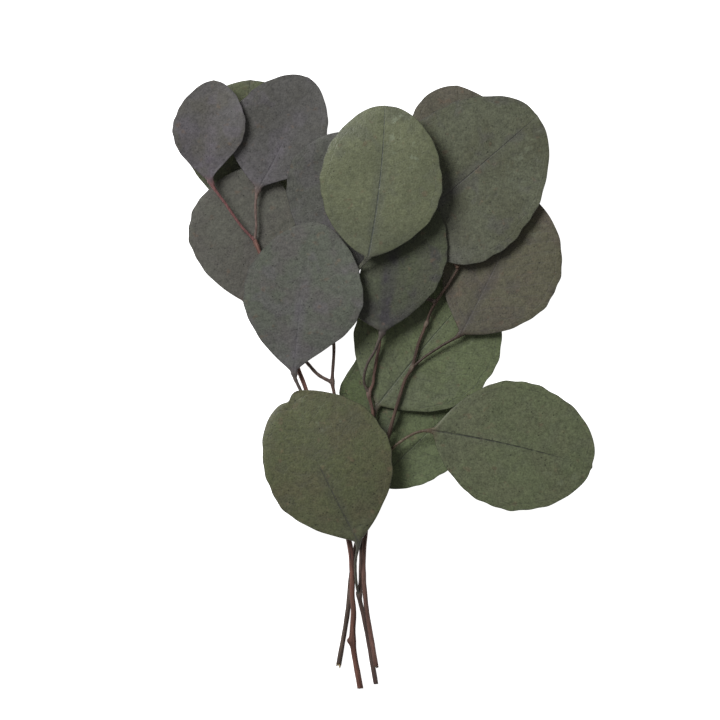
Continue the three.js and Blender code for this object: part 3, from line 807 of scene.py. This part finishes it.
leafLeftLow = {
    "node": "leaf_left_low", "slot": "leaf_grey_green", "seed": 24,
    "base": (-59.6, 34.1), "tip": (-55.1, 92.4), "z": (3.9, 3.5),
    "left": (27, 0.5, 0.81, 0.65), "right": (19, 0.5, 0.85, 0.6),
    "arch": 0.6, "lean": 0.01, "cup": -0.8, "wave": 0.2,
    "stalk": [(-22.6, -0.6, 6.8), (-28.5, 2.6, 6.4), (-33.8, 8.2, 5.4), (-45, 20, 4.4)],
    "skin": {
        "Base": (90, 90, 82), "Patch": (82, 80, 74), "Tint": (84, 80, 78), "Stalk": (86, 72, 66),
        "Vein": (70, 66, 66), "Veins": 0.06,
    },
}
leafCentreGrey = {
    "node": "leaf_centre_grey", "slot": "leaf_purple_grey", "seed": 25,
    "base": (-30, 47), "tip": (-11, 107), "z": (9, 9.6),
    "left": (24.1, 0.62, 1.33, 0.7), "right": (24, 0.42, 0.42, 0.6),
    "arch": 1, "lean": 0.02, "cup": 0.6,
    "stalk": [(-24.7, 34.6, 8), (-27.4, 40.5, 8.5)],
    "skin": {
        "Base": (87, 88, 82), "Patch": (86, 84, 84), "Tint": (96, 92, 96), "Stalk": (100, 84, 80),
        "Vein": (66, 62, 66), "Tinting": 0.5, "Veins": 0.12,
    },
}
leafCentreLarge = {
    "node": "leaf_centre_large", "slot": "leaf_grey_green", "seed": 26,
    "base": (-39, 3.3), "tip": (-30, 69.9), "z": (12, 15),
    "left": (25, 0.49, 0.99, 0.8), "right": (26.3, 0.48, 1.43, 0.71),
    "sweep": 1.3, "arch": 2.2, "cup": 0.4, "notch": 1.5, "notchWidth": 6,
    "stalk": [(-33.5, -10.5, 6.6), (-36, -4.5, 8.8), (-38.6, 1.2, 11)],
    "skin": {
        "Base": (90, 94, 84), "Patch": (92, 89, 87), "Tint": (98, 95, 98), "Stalk": (100, 92, 88),
        "Vein": (82, 80, 84), "Patches": 0.8, "Tinting": 0.6, "Veins": 0.3, "Rib Reach": 0.55,
        "Edge Vein": 0.06,
    },
}
leafTopLight = {
    "node": "leaf_top_light", "slot": "leaf_olive", "seed": 27,
    "base": (-7.3, 53.1), "tip": (-0.1, 118.5), "z": (18.4, 18),
    "left": (25.6, 0.49, 0.73, 0.67), "right": (26.6, 0.48, 0.72, 0.49),
    "sweep": -1.5, "arch": 3, "lean": 0.02, "cup": -1, "notch": 0.6, "wave": 0.35,
    "stalk": [(-14.2, 38.5, 10.6), (-13.4, 44.2, 12.4), (-11, 48.6, 14.2)],
    "skin": {
        # the Stalk colour is darkened as painted shade, for where the stalk runs under leaf_centre_large
        "Base": (106, 110, 86), "Patch": (98, 102, 80), "Tint": (86, 88, 82), "Stalk": (92, 92, 82),
        "Vein": (78, 82, 80), "Patches": 0.85, "Tinting": 0.35, "Veins": 0.75, "Side Veins": 0.1,
        "Edge Vein": 0.12, "Mottle": 0.7, "Gloss": 0.8,
    },
}
leafDarkCentre = {
    "node": "leaf_dark_centre", "slot": "leaf_dark_green", "seed": 28,
    "base": (-1.2, 20.8), "tip": (10, 81.4), "z": (10.4, 11.4),
    "left": (13.4, 0.12, 1.25, 0.45), "right": (22.9, 0.56, 1.01, 0.48),
    "sweep": 1.4, "arch": 0.4, "wave": 0.2, "stalkRadius": 0.62,
    "stalk": [
        (-6.9, -5, 6), (-8.8, -1.4, 6.6), (-9, 2, 7.4), (-7.4, 7.8, 8.6), (-4.3, 13.1, 9.6),
        (-2.8, 17, 10.2),
    ],
    "skin": {
        "Base": (79, 84, 66), "Patch": (79, 79, 69), "Tint": (66, 64, 66), "Stalk": (76, 68, 62),
        "Vein": (66, 62, 66), "Tinting": 0.8, "Veins": 0.08, "Edge Vein": 0.06, "Gloss": 0.2,
    },
}
leafTopRightLarge = {
    "node": "leaf_top_right_large", "slot": "leaf_dark_green", "seed": 29,
    "base": (7.7, 64.3), "tip": (66.7, 114.9), "z": (9.4, 6.2),
    "left": (30.7, 0.46, 0.5, 0.56), "right": (34.1, 0.38, 0.4, 0.7),
    "sweep": -0.2, "arch": 0.8, "cup": 0.4, "notch": 1.6, "notchWidth": 6,
    "stalk": [(21.8, 34, 6.7), (15, 37, 7.4), (9.5, 45.5, 8.6), (7.6, 57, 9.2)],
    "skin": {
        "Base": (93, 96, 79), "Patch": (84, 85, 68), "Tint": (86, 84, 84), "Stalk": (82, 70, 63),
        "Vein": (58, 56, 58), "Patches": 0.6, "Tinting": 0.5, "Veins": 0.6, "Rib Start": 0.26,
        "Edge Vein": 0.06, "Gloss": 0.3,
    },
}
leafTopRightBack = {
    "node": "leaf_top_right_back", "slot": "leaf_brown_green", "seed": 30,
    "base": (26.7, 67.2), "tip": (31.1, 127), "z": (2.2, 0.2),
    "left": (22.9, 0.56, 0.6, 0.5), "right": (21.8, 0.71, 0.6, 0.75),
    "sweep": -2.4, "cup": 0.6, "wave": 0.12,
    "stalk": [(31.6, 48.8, 7), (24, 57, 6.2), (20.5, 62.5, 4.2)],
    "skin": {
        "Base": (95, 91, 80), "Patch": (84, 82, 70), "Tint": (90, 84, 78), "Stalk": (104, 84, 72),
        "Vein": (66, 62, 56), "Patches": 0.6, "Side Veins": 0.3, "Edge Vein": 0.1, "Gloss": 0.1,
    },
}
leafRight = {
    "node": "leaf_right", "slot": "leaf_brown_green", "seed": 31,
    "base": (32.7, 20.4), "tip": (61.9, 79.8), "z": (6.2, 3.4),
    "left": (22, 0.46, 1.02, 0.6), "right": (27.9, 0.51, 0.76, 0.62),
    "sweep": -0.5, "arch": 0.4, "lean": -0.03, "stalkRadius": 0.55,
    "stalk": [(11.6, 5.8, 5.2), (17.1, 10.4, 5.3), (24, 15, 5.6)],
    "skin": {
        "Base": (91, 89, 72), "Patch": (92, 84, 74), "Tint": (82, 78, 72), "Stalk": (66, 54, 47),
        "Vein": (80, 76, 84), "Patches": 0.7, "Tinting": 0.6, "Veins": 0.28, "Rib Reach": 0.8,
        "Side Veins": 0.22, "Edge Vein": 0.08, "Gloss": 0.2,
    },
}
leafLowerGreen = {
    "node": "leaf_lower_green", "slot": "leaf_fresh_green", "seed": 32,
    "base": (-3.1, -10.1), "tip": (40.6, 41.6), "z": (4, 2.6),
    "left": (31.5, 0.45, 0.69, 0.55), "right": (30.5, 0.5, 0.86, 0.51),
    "sweep": 0.8, "arch": -0.4, "wave": 0.2,
    "stalk": [(-5.2, -17, 6.3), (-4.2, -13.4, 4.4)],
    "skin": {
        "Base": (97, 106, 77), "Patch": (93, 100, 74), "Tint": (92, 92, 84),
        "Vein": (56, 62, 54), "Tinting": 0.3, "Veins": 0.6, "Side Veins": 0.3, "Edge Vein": 0.45,
        "Gloss": 0.3,
    },
}
leafSmallUnder = {
    "node": "leaf_small_under", "slot": "leaf_fresh_green", "seed": 33,
    "base": (-2.6, -24.8), "tip": (-12.3, 9.8), "z": (2.4, 1.5),
    "left": (12.7, 0.6, 0.5, 1.29), "right": (14, 0.5, 0.6, 0.6),
    "sweep": -1.4, "cup": 0.3, "wave": 0.1,
    "stalk": [(-7.3, -36, 6.2), (-5.6, -31.5, 3.2)],
    "skin": {
        "Base": (84, 94, 64), "Patch": (75, 81, 61), "Tint": (80, 80, 74),
        "Vein": (56, 60, 50), "Patches": 0.4, "Tinting": 0.3, "Side Veins": 0.3, "Edge Vein": 0.1,
        "Gloss": 0.2,
    },
}
leafFrontOlive = {
    "node": "leaf_front_olive", "slot": "leaf_olive", "seed": 34,
    "base": (-11.5, -68.9), "tip": (-41.6, -6.2), "z": (10.4, 9.8),
    "left": (23.5, 0.5, 1.02, 0.55), "right": (31.8, 0.52, 0.84, 0.61),
    "sweep": 0.9, "arch": 1.6, "cup": -1, "notch": 1.6, "notchWidth": 3, "nib": 0, "lobe": 1.3,
    "stalkRadius": 0.6,
    "stalk": [(-11, -92.7, 2.4), (-12.2, -87.6, 5.2), (-12.7, -81, 7.2), (-12.6, -76.6, 8.8)],
    "skin": {
        "Base": (86, 90, 64), "Patch": (87, 83, 64), "Tint": (79, 80, 66), "Stalk": (80, 78, 70),
        "Vein": (62, 62, 62), "Patches": 0.6, "Tinting": 0.5, "Veins": 0.6, "Rib Reach": 0.66,
        "Edge Vein": 0.06, "Gloss": 0.3,
    },
}
leafLowerRight = {
    "node": "leaf_lower_right", "slot": "leaf_dark_green", "seed": 35,
    "base": (20.8, -21.3), "tip": (89.5, -37.2), "z": (6.4, 0.2),
    "left": (27.7, 0.47, 0.82, 0.44), "right": (27.6, 0.49, 0.77, 0.64),
    "sweep": 1.5, "arch": 0.8, "lean": 0.05, "cup": -0.6, "notch": 0.8, "nib": 0.5, "stalkRadius": 0.6,
    "stalk": [(-0.9, -32.6, 4.6), (5.6, -26.8, 5.6), (13.8, -22, 6.4)],
    "skin": {
        "Base": (100, 107, 81), "Patch": (101, 104, 82), "Tint": (94, 95, 88), "Stalk": (92, 80, 66),
        "Vein": (54, 56, 54), "Patches": 0.6, "Tinting": 0.18, "Veins": 0.8, "Rib Reach": 0.9,
        "Side Veins": 0.14, "Edge Vein": 0.3, "Gloss": 0.2,
    },
}
leafBackLow = {
    "node": "leaf_back_low", "slot": "leaf_fresh_green", "seed": 36,
    "base": (-4.2, -43.9), "tip": (31, -10), "z": (0.6, 0.2),
    "left": (19, 0.5, 0.6, 0.5), "right": (17.9, 0.63, 0.64, 0.5),
    "cup": 0.4, "wave": 0.1,
    "stalk": [(-7.2, -53, 2.8), (-6.8, -48.5, 1.3)],
    "skin": {
        "Base": (99, 109, 79), "Patch": (90, 99, 72), "Tint": (78, 84, 62),
        "Vein": (60, 66, 56), "Tinting": 0.3, "Side Veins": 0.3, "Edge Vein": 0.1, "Gloss": 0.2,
    },
}
leaves = [
    leafTopLeftSmall, leafTopLeftBack, leafTopCentre, leafLeftLow, leafCentreGrey, leafCentreLarge,
    leafTopLight, leafDarkCentre, leafTopRightLarge, leafTopRightBack, leafRight, leafLowerGreen,
    leafSmallUnder, leafFrontOlive, leafLowerRight, leafBackLow,
]

for leaf in leaves:
    rings, marks = leafRings({**plainLeaf, **leaf})
    piece = closedMesh(leaf["node"] + "_blade", rings + shift, marks)
    material = skinMaterial("skin " + leaf["node"], leafSkin, {**plainSkin, **leaf["skin"]}, leafFinish)
    finishPiece(piece, leaf["node"], material)
print("leaves made")

stage = {
    "floorSize": 6.0, "floorColor": (0.86, 0.86, 0.86, 1), "floorRough": 0.9, "floorShine": 0.1,
    "floorGlow": 0.95,  # keeps the paper pure pale under the leaves' shadows
    "white": (1, 1, 1, 1),
    "skyStrength": 0.2,
    "keyPlace": (-0.78, 0.76, 1.12), "keySize": 0.75, "keyPower": 24.7,  # upper left, aimed at 0
}
camera = {
    "aim": (-10.75, 9.05),  # mm, in the numbers' own frame
    "distance": 4.0, "farEnd": 20,
    "frameWidth": 0.3096,  # what the picture spans at the surface
    "sensor": 36.0,
}


def areaLight(name, place, size, power):
    data = bpy.data.lights.new(name, "AREA")
    data.shape = "DISK"
    data.size = size
    data.energy = power
    light = addObject(name, data)
    light.location = place
    light.rotation_euler = (-light.location).to_track_quat("-Z", "Y").to_euler()


def paperMaterial():
    paper = bpy.data.materials.new("pale paper")
    paper.use_nodes = True
    shader = paper.node_tree.nodes["Principled BSDF"]
    shader.inputs["Base Color"].default_value = stage["floorColor"]
    shader.inputs["Roughness"].default_value = stage["floorRough"]
    shader.inputs["Specular IOR Level"].default_value = stage["floorShine"]
    shader.inputs["Emission Color"].default_value = stage["white"]
    shader.inputs["Emission Strength"].default_value = stage["floorGlow"]
    return paper


def buildStage():
    half = stage["floorSize"] / 2
    mesh = bpy.data.meshes.new("floor")
    corners = [(-half, -half, 0), (half, -half, 0), (half, half, 0), (-half, half, 0)]
    mesh.from_pydata(corners, [], [(0, 1, 2, 3)])
    mesh.materials.append(paperMaterial())
    floor = addObject("floor", mesh)
    world = bpy.data.worlds.new("studio")
    world.use_nodes = True
    sky = world.node_tree.nodes["Background"]
    sky.inputs["Color"].default_value = stage["white"]
    sky.inputs["Strength"].default_value = stage["skyStrength"]
    bpy.context.scene.world = world
    areaLight("key", stage["keyPlace"], stage["keySize"], stage["keyPower"])
    bpy.context.scene.view_settings.view_transform = "Standard"


def buildCamera():  # straight above the middle of the picture
    data = bpy.data.cameras.new("camera")
    data.sensor_width = camera["sensor"]
    data.lens = camera["sensor"] * camera["distance"] / camera["frameWidth"]
    data.clip_end = camera["farEnd"]
    view = addObject("camera", data)
    aim = (np.array(camera["aim"]) + shift[:2]) * mm
    view.location = (aim[0], aim[1], camera["distance"])
    bpy.context.scene.camera = view


buildStage()
buildCamera()
print("stage and camera set")
